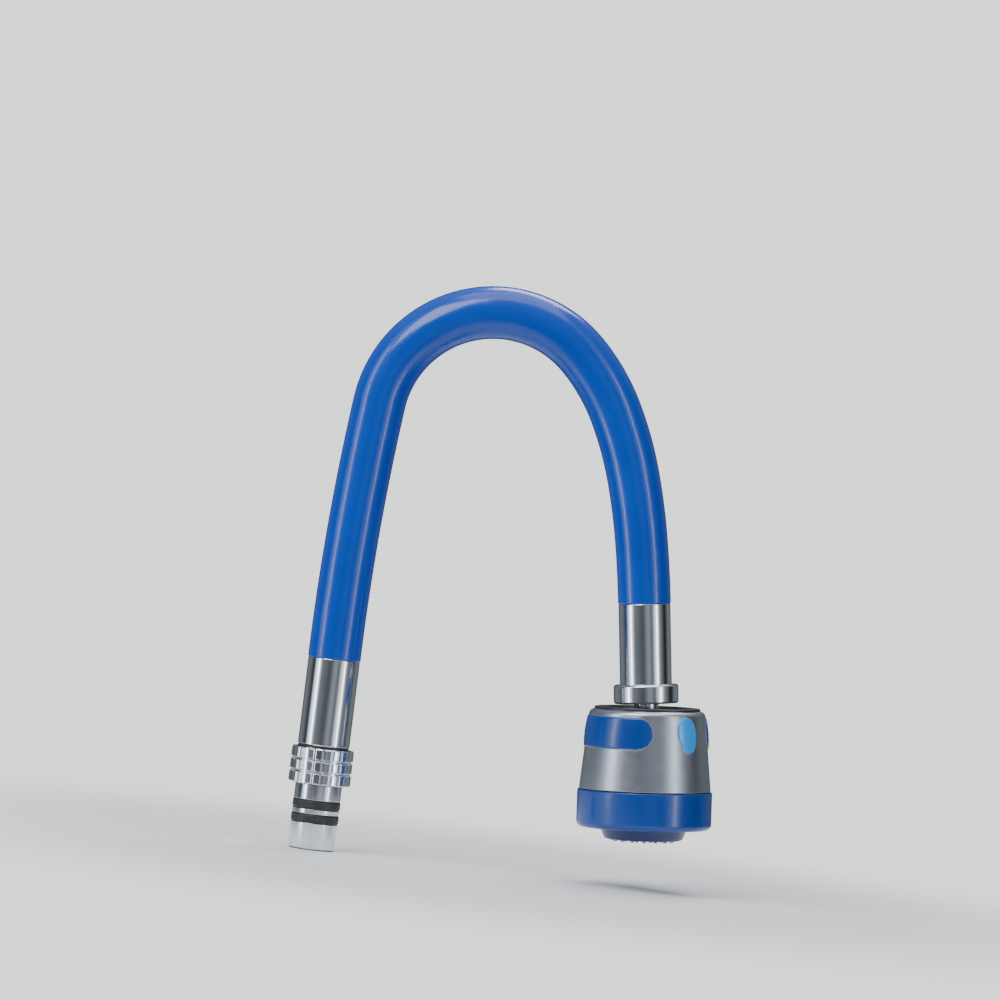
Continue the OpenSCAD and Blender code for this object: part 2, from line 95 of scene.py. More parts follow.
def make_floor():
    """A pale disc that fades out at its edge, so that no horizon shows behind the part."""
    look = Look("pale_floor", (0.80, 0.805, 0.815), roughness=0.75)
    look.vary_colour(look.noise(even(4), 3), (0.77, 0.775, 0.79), 0.6)
    look.bump(look.noise(even(500), 3), 0.00004)
    full_r, fade_r, corners = 0.13, 0.34, 128
    length = look.nodes.new("ShaderNodeVectorMath")
    length.operation = "LENGTH"
    look.links.new(look.where, length.inputs[0])
    fade = look.nodes.new("ShaderNodeMapRange")
    fade.interpolation_type = "SMOOTHSTEP"
    fade.inputs["From Min"].default_value = full_r
    fade.inputs["From Max"].default_value = fade_r
    fade.inputs["To Min"].default_value = 1.0
    fade.inputs["To Max"].default_value = 0.0
    look.links.new(length.outputs["Value"], fade.inputs["Value"])
    look.links.new(fade.outputs["Result"], look.shader.inputs["Alpha"])
    mesh = bpy.data.meshes.new("floor")
    angles = [TAU * k / corners for k in range(corners)]
    rim = [(fade_r * math.cos(a), fade_r * math.sin(a), 0) for a in angles]
    mesh.from_pydata(rim, [], [tuple(range(corners))])
    mesh.materials.append(look.material)
    floor = bpy.data.objects.new("floor", mesh)
    middle = (cad_low + cad_high) / 2
    floor.location = (middle.x, middle.y, cad_low.z - 0.3 * MM)
    bpy.context.scene.collection.objects.link(floor)


def area_light(name, azimuth, elevation, distance, size, power):
    """A rectangular light that faces the part. Azimuth 0 is the camera's side and 90 its right."""
    aim = (cad_low + cad_high) / 2
    a, e = math.radians(azimuth), math.radians(elevation)
    out = Vector((math.sin(a) * math.cos(e), -math.cos(a) * math.cos(e), math.sin(e)))
    light = bpy.data.lights.new(name, "AREA")
    light.shape = "RECTANGLE"
    light.size, light.size_y = size
    light.energy = power
    lamp = bpy.data.objects.new(name, light)
    lamp.location = aim + out * distance
    lamp.rotation_euler = out.to_track_quat("Z", "Y").to_euler()
    bpy.context.scene.collection.objects.link(lamp)


def make_lights():
    area_light("key", -38, 44, 1.5, (0.8, 0.8), 14)
    area_light("top", 10, 80, 1.4, (1.1, 1.1), 8)
    area_light("strip_left", -64, 4, 1.3, (0.14, 1.3), 2.5)
    area_light("strip_right", 54, 8, 1.3, (0.1, 1.3), 2.0)
    area_light("back", 165, 58, 1.5, (0.8, 0.6), 10)


def studio_colours(world):
    """Colours of the studio: two soft bright panels in front of the part, and a dim room behind."""
    nodes, links = world.node_tree.nodes, world.node_tree.links
    where = nodes.new("ShaderNodeTexCoord").outputs["Generated"]
    around = nodes.new("ShaderNodeTexGradient")
    around.gradient_type = "RADIAL"
    links.new(where, around.inputs["Vector"])
    walls = nodes.new("ShaderNodeValToRGB")
    walls.color_ramp.interpolation = "EASE"
    stops = walls.color_ramp.elements
    stops[0].color = stops[1].color = (0.02, 0.022, 0.026, 1)
    # Each panel is (azimuth, brightness), where azimuth 0 is the camera's side and 90 its right.
    panels = [
        (-68, 1.0), (-46, 0.10), (-10, 0.05), (14, 0.16), (30, 0.08), (52, 0.8),
        (70, 0.10), (96, 0.01), (125, 0.10), (180, 0.03), (235, 0.10)]
    for azimuth, light in panels:
        stops.new(0.25 + azimuth / 360).color = (light * 0.86, light * 0.94, light, 1)
    links.new(around.outputs["Fac"], walls.inputs[0])
    split = nodes.new("ShaderNodeSeparateXYZ")
    links.new(where, split.inputs[0])
    height = nodes.new("ShaderNodeMapRange")
    height.interpolation_type = "SMOOTHSTEP"
    height.inputs["From Min"].default_value = 0.35
    height.inputs["From Max"].default_value = 0.95
    links.new(split.outputs["Z"], height.inputs["Value"])
    room = nodes.new("ShaderNodeMix")
    room.data_type = "RGBA"
    room.inputs["B"].default_value = (0.20, 0.21, 0.23, 1)
    links.new(height.outputs["Result"], room.inputs["Factor"])
    links.new(walls.outputs["Color"], room.inputs["A"])
    return room.outputs["Result"]


def make_world():
    """The studio for the light and the reflections, and a plain pale background for the camera."""
    world = bpy.data.worlds.new("studio")
    bpy.context.scene.world = world
    world.use_nodes = True
    nodes, links = world.node_tree.nodes, world.node_tree.links
    nodes.clear()
    studio = nodes.new("ShaderNodeBackground")
    studio.inputs["Strength"].default_value = 2.4
    links.new(studio_colours(world), studio.inputs["Color"])
    backdrop = nodes.new("ShaderNodeBackground")
    backdrop.inputs["Color"].default_value = (0.82, 0.83, 0.85, 1)
    backdrop.inputs["Strength"].default_value = 1.9
    seen = nodes.new("ShaderNodeLightPath")
    mix = nodes.new("ShaderNodeMixShader")
    links.new(seen.outputs["Is Camera Ray"], mix.inputs[0])
    links.new(studio.outputs[0], mix.inputs[1])
    links.new(backdrop.outputs[0], mix.inputs[2])
    out = nodes.new("ShaderNodeOutputWorld")
    links.new(mix.outputs[0], out.inputs[0])


# ---- Materials ----

class Look:
    """A node material with one Principled shader, and short calls for the detail on it."""

    def __init__(self, name, colour, metallic=0.0, roughness=0.4, coat=0.0, ior=1.5):
        self.material = bpy.data.materials.new(name)
        self.material.use_nodes = True
        self.nodes = self.material.node_tree.nodes
        self.links = self.material.node_tree.links
        self.shader = self.nodes["Principled BSDF"]
        self.colour = (*colour, 1)
        self.shader.inputs["Base Color"].default_value = self.colour
        self.shader.inputs["Metallic"].default_value = metallic
        self.shader.inputs["Roughness"].default_value = roughness
        self.shader.inputs["Coat Weight"].default_value = coat
        self.shader.inputs["IOR"].default_value = ior
        self.where = self.nodes.new("ShaderNodeTexCoord").outputs["Object"]
        self.height = None

    def stretched(self, scale):
        """Object coordinates in metres times a scale along each axis."""
        stretch = self.nodes.new("ShaderNodeMapping")
        stretch.inputs["Scale"].default_value = scale
        self.links.new(self.where, stretch.inputs["Vector"])
        return stretch.outputs[0]

    def noise(self, scale, detail=4.0, roughness=0.5):
        texture = self.nodes.new("ShaderNodeTexNoise")
        texture.inputs["Scale"].default_value = 1.0
        texture.inputs["Detail"].default_value = detail
        texture.inputs["Roughness"].default_value = roughness
        self.links.new(self.stretched(scale), texture.inputs["Vector"])
        return texture.outputs["Fac"]

    def spread(self, value, low, high):
        """Maps the usual middle of a noise to the span from low to high."""
        span = self.nodes.new("ShaderNodeMapRange")
        span.inputs["From Min"].default_value = 0.3
        span.inputs["From Max"].default_value = 0.7
        span.inputs["To Min"].default_value = low
        span.inputs["To Max"].default_value = high
        self.links.new(value, span.inputs["Value"])
        return span.outputs["Result"]

    def vary_colour(self, value, other, share):
        """Mixes the other colour in, by up to share, where the value is high."""
        mix = self.nodes.new("ShaderNodeMix")
        mix.data_type = "RGBA"
        mix.inputs["A"].default_value = self.colour
        mix.inputs["B"].default_value = (*other, 1)
        self.links.new(self.spread(value, 0, share), mix.inputs["Factor"])
        self.links.new(mix.outputs["Result"], self.shader.inputs["Base Color"])

    def vary_roughness(self, value, low, high):
        self.links.new(self.spread(value, low, high), self.shader.inputs["Roughness"])

    def bump(self, value, height, strength=1.0):
        """Adds a relief of that height in metres on top of the relief so far."""
        relief = self.nodes.new("ShaderNodeBump")
        relief.inputs["Strength"].default_value = strength
        relief.inputs["Distance"].default_value = height
        self.links.new(value, relief.inputs["Height"])
        if self.height is not None:
            self.links.new(self.height, relief.inputs["Normal"])
        self.height = relief.outputs["Normal"]
        self.links.new(self.height, self.shader.inputs["Normal"])


def even(scale):
    return (scale, scale, scale)


def blue_silicone():
    look = Look("blue_silicone", (0.003, 0.062, 0.44), roughness=0.22, coat=0.3, ior=1.43)
    look.shader.inputs["Coat Roughness"].default_value = 0.08
    look.vary_colour(look.noise(even(60), 3), (0.002, 0.045, 0.37), 0.6)
    look.vary_roughness(look.noise(even(240), 3), 0.17, 0.24)
    look.bump(look.noise(even(90), 2), 0.0002)
    look.bump(look.noise(even(1200), 2), 0.0000015)
    return look.material


def chrome():
    look = Look("chrome", (0.74, 0.77, 0.82), metallic=1.0, roughness=0.1)
    look.vary_colour(look.noise(even(120), 3), (0.62, 0.66, 0.72), 0.5)
    look.vary_roughness(look.noise((900, 900, 90), 4), 0.08, 0.15)
    look.bump(look.noise((1600, 1600, 160), 3), 0.000001)
    return look.material


def satin_plate():
    look = Look("satin_plate", (0.40, 0.43, 0.49), metallic=0.92, roughness=0.30)
    look.vary_colour(look.noise(even(160), 3), (0.35, 0.38, 0.43), 0.5)
    look.vary_roughness(look.noise(even(300), 3), 0.29, 0.34)
    look.bump(look.noise(even(1500), 2), 0.0000005)
    return look.material


def steel():
    look = Look("steel", (0.55, 0.56, 0.58), metallic=1.0, roughness=0.28)
    look.vary_colour(look.noise(even(400), 4), (0.42, 0.42, 0.43), 0.6)
    look.vary_roughness(look.noise(even(700), 4), 0.2, 0.4)
    look.bump(look.noise(even(2500), 3), 0.000006)
    return look.material


def black_rubber():
    look = Look("black_rubber", (0.012, 0.012, 0.014), roughness=0.5)
    look.vary_colour(look.noise(even(500), 4), (0.03, 0.03, 0.034), 0.7)
    look.vary_roughness(look.noise(even(600), 3), 0.4, 0.65)
    look.bump(look.noise(even(2200), 3), 0.00002)
    return look.material


def black_moulding():
    look = Look("black_moulding", (0.016, 0.017, 0.02), roughness=0.38)
    look.vary_colour(look.noise(even(300), 4), (0.03, 0.032, 0.037), 0.6)
    look.vary_roughness(look.noise(even(800), 3), 0.3, 0.46)
    look.bump(look.noise(even(3000), 2), 0.000012)
    return look.material


def coloured_moulding(name, colour, shade, roughness, coat):
    look = Look(name, colour, roughness=roughness, coat=coat)
    look.shader.inputs["Coat Roughness"].default_value = 0.12
    look.vary_colour(look.noise(even(60), 3), shade, 0.5)
    look.vary_roughness(look.noise(even(300), 3), roughness - 0.02, roughness + 0.03)
    look.bump(look.noise(even(900), 2), 0.0000006)
    return look.material


def white_moulding():
    look = Look("white_moulding", (0.80, 0.80, 0.77), roughness=0.42)
    look.vary_colour(look.noise(even(150), 3), (0.7, 0.7, 0.66), 0.5)
    look.vary_roughness(look.noise(even(600), 3), 0.35, 0.5)
    look.bump(look.noise(even(2500), 2), 0.00001)
    return look.material


LOOKS = {
    "chrome_fittings": chrome(),
    "black_seals": black_rubber(),
    "steel_inside": steel(),
    "hose_core": white_moulding(),
    "blue_sleeve": blue_silicone(),
    "black_cap": black_moulding(),
    "satin_bell": satin_plate(),
    "blue_grip": coloured_moulding(
        "blue_moulding", (0.001, 0.046, 0.27), (0.001, 0.04, 0.24), roughness=0.2, coat=0.15),
    "cyan_inlay": coloured_moulding(
        "cyan_moulding", (0.0, 0.31, 0.90), (0.0, 0.28, 0.84), roughness=0.2, coat=0.2),
    "nozzle_blue": coloured_moulding(
        "dark_blue_moulding", (0.003, 0.018, 0.13), (0.002, 0.013, 0.10), roughness=0.3, coat=0.2),
    "grey_nubs": coloured_moulding(
        "grey_silicone", (0.20, 0.22, 0.25), (0.15, 0.16, 0.19), roughness=0.45, coat=0.0),
}
LOOKS["white_plastic"] = LOOKS["hose_core"]


# ---- Mesh tools ----

def add_piece(name, points, faces, slot, body=None, crease=35):
    """A smooth piece from points in metres in the row frame, with sharp edges over the crease angle."""
    mesh = bpy.data.meshes.new(name)
    build = bmesh.new()
    corners = [build.verts.new(p) for p in points]
    for face in faces:
        build.faces.new([corners[i] for i in face])
    bmesh.ops.remove_doubles(build, verts=build.verts, dist=1e-7)
    bmesh.ops.recalc_face_normals(build, faces=build.faces)
    for face in build.faces:
        face.smooth = True
    for edge in build.edges:
        edge.smooth = edge.calc_face_angle(0) < math.radians(crease)
    build.to_mesh(mesh)
    build.free()
    mesh.materials.append(LOOKS[slot])
    piece = bpy.data.objects.new(name, mesh)
    bpy.context.scene.collection.objects.link(piece)
    if body:
        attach(piece, body)
    return piece


def grid_faces(rows, columns, close_rows=False):
    """Four-sided faces over rings of points stored one after another, each ring closed on itself."""
    faces = []
    for i in range(rows if close_rows else rows - 1):
        for j in range(columns):
            a, b = i * columns, (i + 1) % rows * columns
            k = (j + 1) % columns
            faces.append((a + j, a + k, b + k, b + j))
    return faces


def rounded(outline, steps=5):
    """A closed outline of (radius, height, corner radius) as points, with its corners rounded."""
    points = []
    for i, (r, z, corner) in enumerate(outline):
        here = np.array((r, z), float)
        if not corner:
            points.append(here)
            continue
        before = np.array(outline[i - 1][:2], float) - here
        after = np.array(outline[(i + 1) % len(outline)][:2], float) - here
        before, after = before / np.linalg.norm(before), after / np.linalg.norm(after)
        half = math.acos(np.clip(before @ after, -1, 1)) / 2
        reach = corner / math.tan(half)
        middle = (before + after) / np.linalg.norm(before + after)
        centre = here + middle * corner / math.sin(half)
        first, last = here + before * reach - centre, here + after * reach - centre
        turn = math.copysign(math.pi - 2 * half, first[0] * last[1] - first[1] * last[0])
        for k in range(steps + 1):
            c, s = math.cos(turn * k / steps), math.sin(turn * k / steps)
            points.append(centre + (first[0] * c - first[1] * s, first[0] * s + first[1] * c))
    return points


def supported(points):
    """Adds points along a closed outline's long sides, also close to their ends, to keep them flat."""
    hair, longest = 0.04, 2.5
    dense = []
    for here, there in zip(points, points[1:] + points[:1]):
        length = np.linalg.norm(there - here)
        dense.append(here)
        if length > 10 * hair:
            count = math.ceil(length / longest)
            inner = [k / count for k in range(1, count)]
            dense += [here + (there - here) * t for t in [hair / length, *inner, 1 - hair / length]]
    return dense


def placed(points, place):
    """Points in millimetres of a fitting's frame, as points in metres of the row frame."""
    points = np.asarray(points, float) * MM
    return points @ np.array(place.to_3x3()).T + np.array(place.translation)


def turned_points(outline, segments, reach=None):
    """Points and faces of a turned solid. reach(angle, radius) may change the radius, as flutes do."""
    ring = supported(rounded(outline))
    points = []
    for r, z in ring:
        for k in range(segments):
            a = TAU * k / segments
            radius = reach(a, r) if reach else r
            points.append((radius * math.cos(a), radius * math.sin(a), z))
    return points, grid_faces(len(ring), segments, close_rows=True)


def turned_piece(node, outline, place, slot, body, segments=144, reach=None):
    """A turned piece that stands for a CAD node."""
    points, faces = turned_points(outline, segments, reach)
    piece = add_piece(f"{node}_shape", placed(points, place), faces, slot, body)
    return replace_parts(piece, node)


def measure(node, place):
    """Least and most radius, then least and most height, in mm, of a CAD node in a fitting's frame."""
    back = place.inverted()
    points = np.array([back @ v.co for v in frame["nodes"][node].data.vertices]) / MM
    radii = np.hypot(points[:, 0], points[:, 1])
    heights = points[:, 2]
    return float(radii.min()), float(radii.max()), float(heights.min()), float(heights.max())


def smooth_step(t):
    t = min(max(t, 0.0), 1.0)
    return t * t * (3 - 2 * t)


# ---- Where things are ----

JOINTS = {joint["name"]: joint for joint in frame["joints"]}
NECK_BODIES = ["inlet"] + [f"neck_{k:02d}" for k in range(2, 12)] + ["outlet"]
PIVOTS = {joint["child"]: Vector(joint["pos_m"]) for joint in frame["joints"]}
HINGES = [PIVOTS[body] for body in NECK_BODIES[1:]]
BALL = PIVOTS["head"]
HEAD_AXIS = Vector(JOINTS["head_turn"]["axis"])
NECK_START = Vector((0, 0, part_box("inlet_ferrule")[1].z))


def facing(point, heading):
    """The frame at a point of the neck, with Z along its heading and Y across it."""
    place = Matrix.Rotation(heading, 4, "Y")
    place.translation = point
    return place


def outlet_frame():
    """The frame at the outlet ferrule's start. The ferrule's middle and the ball lie on its axis."""
    low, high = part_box("outlet_ferrule")
    along = (BALL - (low + high) / 2).normalized()
    heading = math.atan2(along.x, along.z)
    start = measure("outlet_ferrule", facing(BALL, heading))[2]
    return facing(BALL + start * MM * along, heading)


INLET = Matrix.Identity(4)
OUTLET = outlet_frame()
HEAD = facing(BALL, math.atan2(HEAD_AXIS.x, HEAD_AXIS.z))


def neck_links():
    """(start, heading, turn) of every link. A link is an arc that starts along the end of the one
    before it, so its chord has turned by half of what the link turns."""
    links, heading = [], 0.0
    for start, end in zip([NECK_START] + HINGES, HINGES + [OUTLET.translation]):
        chord = end - start
        turn = 2 * (math.atan2(chord.x, chord.z) - heading)
        links.append((start, heading, turn))
        heading += turn
    return links


LINKS = neck_links()
ARCH_END = 7  # the hinge where the arch ends, counted from 0
FIRST_HALF_TURN = LINKS[0][2] / 2
LINK_L = (HINGES[0] - NECK_START).length * FIRST_HALF_TURN / math.sin(FIRST_HALF_TURN)


def on_link(i, s):
    """Point and heading at distance s along link i."""
    start, heading, turn = LINKS[i]
    now = heading + turn * s / LINK_L
    step = Vector((math.cos(heading) - math.cos(now), 0, math.sin(now) - math.sin(heading)))
    return start + step * LINK_L / turn, now


# ---- Neck ----

def neck_tube(name, stations, wall, slot, sides, body=None):
    """A tube with square rims; a station is (centre, heading, outside radius in millimetres)."""
    rings = stations + [(centre, heading, r - wall) for centre, heading, r in reversed(stations)]
    points = []
    for centre, heading, r in rings:
        side = Vector((math.cos(heading), 0, -math.sin(heading)))
        for k in range(sides):
            a = TAU * k / sides
            points.append(centre + r * MM * (math.cos(a) * side + math.sin(a) * Vector((0, 1, 0))))
    return add_piece(name, points, grid_faces(len(rings), sides, close_rows=True), slot, body)


def link_stations(i, first, last, radius, steps):
    """Stations along part of link i. Hair-thin steps at its ends match the next piece's shading."""
    hair = 0.02 * MM
    middle = [first + (last - first) * k / steps for k in range(1, steps)]
    return [(*on_link(i, s), radius) for s in [first, first + hair, *middle, last - hair, last]]


def fitting_stations(place, tail, sign):
    """Straight stations into a fitting, from a tail of (depth, radius) in millimetres."""
    heading = math.atan2(place.col[2].x, place.col[2].z)
    return [(place @ Vector((0, 0, sign * depth * MM)), heading, r) for depth, r in tail]


def bend_over_hinge(piece, j, stations):
    """Bakes the transform of a piece between the links at hinge j into its mesh. It also works out the bodies on
    either side of the hinge, with points that stop short of both rims, and from the arch's end on takes them from
    the outlet's side, since the other way rounding throws one piece off at a limit; nothing uses them."""
    start, end = stations[0][0], stations[-1][0]
    chord = end - start
    along = math.atan2(chord.x, chord.z)
    lean = max(abs(along - stations[0][1]), abs(along - stations[-1][1]))
    inset = chord.normalized() * (stations[0][2] * math.sin(lean) + 0.3) * MM
    near, far = (NECK_BODIES[j], start + inset), (NECK_BODIES[j + 1], end - inset)
    if j >= ARCH_END:
        near, far = far, near
    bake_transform(piece)


def neck_layer(name, slot, wall, tail, nodes, steps, sides):
    """One tube of the neck: an end in each ferrule, and between them a piece over each hinge.
    The tail is how the tube enters a ferrule, from its full radius inwards."""
    radius = tail[0][1]
    lead = -tail[0][0] * MM + 0.1 * MM
    half, last = LINK_L / 2, len(LINKS) - 1
    bottom = fitting_stations(facing(NECK_START, 0.0), list(reversed(tail)), -1)
    stations = bottom + link_stations(0, lead, half, radius, steps)
    piece = neck_tube(f"{name}_inlet_end", stations, wall, slot, sides, "inlet")
    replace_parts(piece, nodes[0])
    top = fitting_stations(OUTLET, tail, 1)
    stations = link_stations(last, half, LINK_L - lead, radius, steps) + top
    piece = neck_tube(f"{name}_outlet_end", stations, wall, slot, sides, "outlet")
    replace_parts(piece, nodes[-1])
    for j in range(last):
        stations = link_stations(j, half, LINK_L, radius, steps)[:-1]
        stations += link_stations(j + 1, 0, half, radius, steps)[1:]
        piece = neck_tube(f"{name}_bend_{j + 1:02d}", stations, wall, slot, sides)
        bend_over_hinge(piece, j, stations)
        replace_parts(piece, nodes[j], nodes[j + 1])


def make_neck():
    sleeve_low, sleeve_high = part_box("sleeve_12")
    sleeve_r = (sleeve_high.y - sleeve_low.y) / 2 / MM
    sleeves = [f"sleeve_{k:02d}" for k in range(1, 13)]
    tuck_r = measure("outlet_ferrule", OUTLET)[0] - 0.05
    mouth = [
        (-0.5, sleeve_r), (-0.25, sleeve_r - 0.05), (-0.1, sleeve_r - 0.2), (0, sleeve_r - 0.5),
        (0.05, tuck_r), (6, tuck_r)]
    neck_layer("neck_sleeve", "blue_sleeve", 1.9, mouth, sleeves, steps=12, sides=80)
    hose_end = [(-0.5, 4.9), (26.4, 4.9)]
    neck_layer("water_hose", "hose_core", 1.3, hose_end, ["inner_hose"] * 12, steps=4, sides=32)


# ---- Inlet fittings ----

SPIGOT_R = frame["record"]["mounts"][0]["dims"]["r_mm"]


def make_tail():
    """The spigot with its flange, its two seal grooves and the flat seals in them."""
    bore_r, _, bottom, top = measure("inlet_tail", INLET)
    seal_in_r, _, seals_low, seals_high = measure("spigot_seals", INLET)
    nut_low = measure("union_nut", INLET)[2]
    seal_h, proud, gap = 3.5, 0.2, 0.05
    neck_r, flange_r, flange_z = 8.8, 10.2, nut_low + 7
    floor_r, seal_out_r = seal_in_r - gap, SPIGOT_R + proud
    outline = [(bore_r, bottom, 0.3), (SPIGOT_R, bottom, 0.7)]
    for end, low in (("low", seals_low), ("high", seals_high - seal_h)):
        high = low + seal_h
        outline += [
            (SPIGOT_R, low - gap, 0.12), (floor_r, low - gap, 0.1),
            (floor_r, high + gap, 0.1), (SPIGOT_R, high + gap, 0.12)]
        seal = [
            (seal_in_r, low, 0), (seal_out_r, low, 0.8),
            (seal_out_r, high, 0.8), (seal_in_r, high, 0)]
        points, faces = turned_points(seal, 120)
        piece = add_piece(f"spigot_seal_{end}", placed(points, INLET), faces, "black_seals", "inlet")
        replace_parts(piece, "spigot_seals")
    outline += [
        (SPIGOT_R, nut_low - 0.4, 0), (neck_r, nut_low, 0), (neck_r, flange_z, 0.3),
        (flange_r, flange_z + 0.4, 0.2), (flange_r, top, 0.3), (bore_r, top, 0.2)]
    turned_piece("inlet_tail", outline, INLET, "chrome_fittings", "inlet")


def make_union_nut():
    """The union nut: three bands of square pads, between flutes and grooves, and a threaded bore."""
    lip_r, nut_r, low, high = measure("union_nut", INLET)
    flutes, flute_w, flute_deep, bands = 21, 0.4, 0.55, 3
    bore_r, thread_deep, threads, lip_z = 10.46, 0.45, 9, low + 10.3
    groove_w, groove_deep, slope = 0.7, 0.6, 0.35
    outline = [(bore_r, low, 0), (nut_r - 0.3, low, 0.3), (nut_r, low + 0.5, 0.2)]
    for k in range(1, bands):
        z = low + (high - low) * k / bands
        outline += [
            (nut_r, z - groove_w / 2 - slope, 0.2),
            (nut_r - groove_deep, z - groove_w / 2 + 0.1, 0.15),
            (nut_r - groove_deep, z + groove_w / 2 - 0.1, 0.15),
            (nut_r, z + groove_w / 2 + slope, 0.2)]
    outline += [
        (nut_r, high - 0.5, 0.2), (nut_r - 0.4, high, 0.3), (lip_r, high, 0.3),
        (lip_r, lip_z, 0), (bore_r, lip_z, 0)]
    for k in reversed(range(threads)):
        z = low + 0.8 + k
        outline += [(bore_r, z + 0.3, 0), (bore_r + thread_deep, z, 0), (bore_r, z - 0.3, 0)]
    pitch = TAU / flutes

    def pad_surface(angle, r):
        off = abs((angle + pitch / 2) % pitch - pitch / 2)
        flat = math.cos(pitch / 2) / math.cos(pitch / 2 - off)
        top = nut_r * (1 + 0.6 * (flat / math.cos(pitch / 4) - 1))
        cut = flute_deep * (1 - smooth_step((off * nut_r - flute_w / 2) / slope))
        return min(r, min(top, nut_r) - cut)

    turned_piece("union_nut", outline, INLET, "chrome_fittings", "union_nut",
                 segments=16 * flutes, reach=pad_surface)


def make_inlet():
    make_tail()
    make_union_nut()
    inner, outer, low, high = measure("slip_washer", INLET)
    ring_outline = [(inner, low, 0.15), (outer, low, 0.25), (outer, high, 0.25), (inner, high, 0.15)]
    turned_piece("slip_washer", ring_outline, INLET, "black_seals", "inlet")
    inner, outer, low, high = measure("inlet_ferrule", INLET)
    bore, step_z = outer - 1, low + 6.2
    turned_piece("inlet_ferrule", [
        (inner, low, 0.2), (outer, low, 0.35), (outer, high, 0.4), (bore, high, 0.15),
        (bore, step_z, 0), (inner, step_z, 0)], INLET, "chrome_fittings", "inlet")


# ---- Outlet fittings ----

def make_outlet():
    inner, outer, low, high = measure("outlet_ferrule", OUTLET)
    turned_piece("outlet_ferrule", [
        (inner, low, 0.15), (outer, low, 0.4), (outer, high, 0.1), (inner, high, 0)],
        OUTLET, "chrome_fittings", "outlet")
    inner, outer, low, high = measure("swivel_nut", OUTLET)
    turned_piece("swivel_nut", [
        (inner, low, 0), (outer - 0.5, low, 0.5), (outer, low + 0.7, 0.4),
        (outer, high - 0.7, 0.3), (outer - 0.5, high, 0.4), (inner, high, 0.2)],
        OUTLET, "chrome_fittings", "outlet")


# ---- Head ----

BELL = measure("bell_shell", HEAD)


def bell_radius(z):
    """Outside radius of the bell at a height in the head's frame."""
    _, low_r, top, bottom = BELL
    top_r = low_r - 2.9
    straight = top + 2.2
    return top_r + (low_r - top_r) * (z - straight) / (bottom - straight)


def make_top_cap():
    plate_r, bell_top = measure("top_cap", HEAD)[1], BELL[2]
    top, seat = bell_top - 1, bell_top + 0.02
    well_r, mouth_r, plug_r, cup_r, socket_r = 15.8, 7.2, 16.9, 12.6, 9.7
    turned_piece("top_cap", [
        (well_r, top, 0.3), (plate_r, top, 0.45), (plate_r, seat, 0), (plug_r, seat, 0),
        (plug_r, top + 3.8, 0), (cup_r, top + 3.8, 0), (cup_r, 0, 0), (socket_r, 0, 0),
        (mouth_r, -6.5, 0.2), (mouth_r, top + 1.8, 0.3), (well_r - 1, top + 1.8, 0.3)],
        HEAD, "black_cap", "head")


def make_bell():
    _, low_r, top, bottom = BELL
    top_r, mouth_r, wall = bell_radius(top), 17, 1.7
    turned_piece("bell_shell", [
        (mouth_r, top, 0.2), (top_r, top, 2.2), (low_r, bottom, 0.3), (low_r - wall, bottom, 0.2),
        (top_r - wall + 0.1, top + 3.2, 0.4), (mouth_r, top + 1.8, 0.3)],
        HEAD, "satin_bell", "head", segments=192)


def on_bell(angle, z, height):
    """The point at a height above the bell's surface."""
    r = bell_radius(z) + height
    return (r * math.cos(angle), r * math.sin(angle), z)


def slot_outline(half_flat, end_r, straight=40, arc=24):
    """Points round a slot with round ends, each as a place on its centre line and a way out from it."""
    outline = []
    for side in (1, -1):
        for k in range(arc):
            a = -math.pi / 2 + math.pi * k / arc
            outline.append((side * half_flat, side * math.cos(a) * end_r, side * math.sin(a) * end_r))
        for k in range(straight):
            outline.append((side * (half_flat - 2 * half_flat * k / straight), 0, side * end_r))
    return outline


def oval_outline(half_w, half_h, lean, egg, count=72):
    """Points round a leaning egg shape, which is wider towards its top."""
    outline = []
    for k in range(count):
        a = TAU * k / count
        x, y = math.cos(a), math.sin(a)
        across = x * half_w * (1 - egg * y)
        along = y * half_h
        leaned_x = across * math.cos(lean) - along * math.sin(lean)
        leaned_y = across * math.sin(lean) + along * math.cos(lean)
        outline.append((0, leaned_x, leaned_y))
    return outline


def inlay_mesh(outline, profile, angle, mid_z):
    """A crowned inlay on the bell, in rings from its outline inwards.
    The profile is a list of (share of the way out, height above the bell)."""
    mid_r = bell_radius(mid_z)
    points = []
    for share, height in profile:
        for x, out_x, out_y in outline:
            points.append(on_bell(angle + (x + out_x * share) / mid_r, mid_z + out_y * share, height))
    return points, grid_faces(len(profile), len(outline))


def crown(edge, height, sink, bevel):
    """Profile of an inlay: a sunk skirt, a rounded edge and a low dome."""
    edge_steps, dome_steps, inner = 6, 12, 1 - bevel
    profile = [(1.0, -sink)]
    for k in range(edge_steps + 1):
        a = math.pi / 2 * k / edge_steps
        profile.append((1 - bevel * (1 - math.cos(a)), edge * math.sin(a)))
    for k in range(1, dome_steps + 1):
        share = inner * (1 - k / dome_steps)
        profile.append((share, edge + (height - edge) * (1 - (share / inner) ** 2)))
    return profile


def bead_mesh(outline, angle, mid_z, outset, section, sides=10):
    """A fine bead on the bell round an inlay's outline."""
    mid_r = bell_radius(mid_z)
    points = []
    for j in range(sides):
        a = TAU * j / sides
        height = section * 0.6 * math.sin(a)
        for x, out_x, out_y in outline:
            share = 1 + (outset + section * math.cos(a)) / math.hypot(out_x, out_y)
            points.append(on_bell(angle + (x + out_x * share) / mid_r, mid_z + out_y * share, height))
    return points, grid_faces(sides, len(outline), close_rows=True)


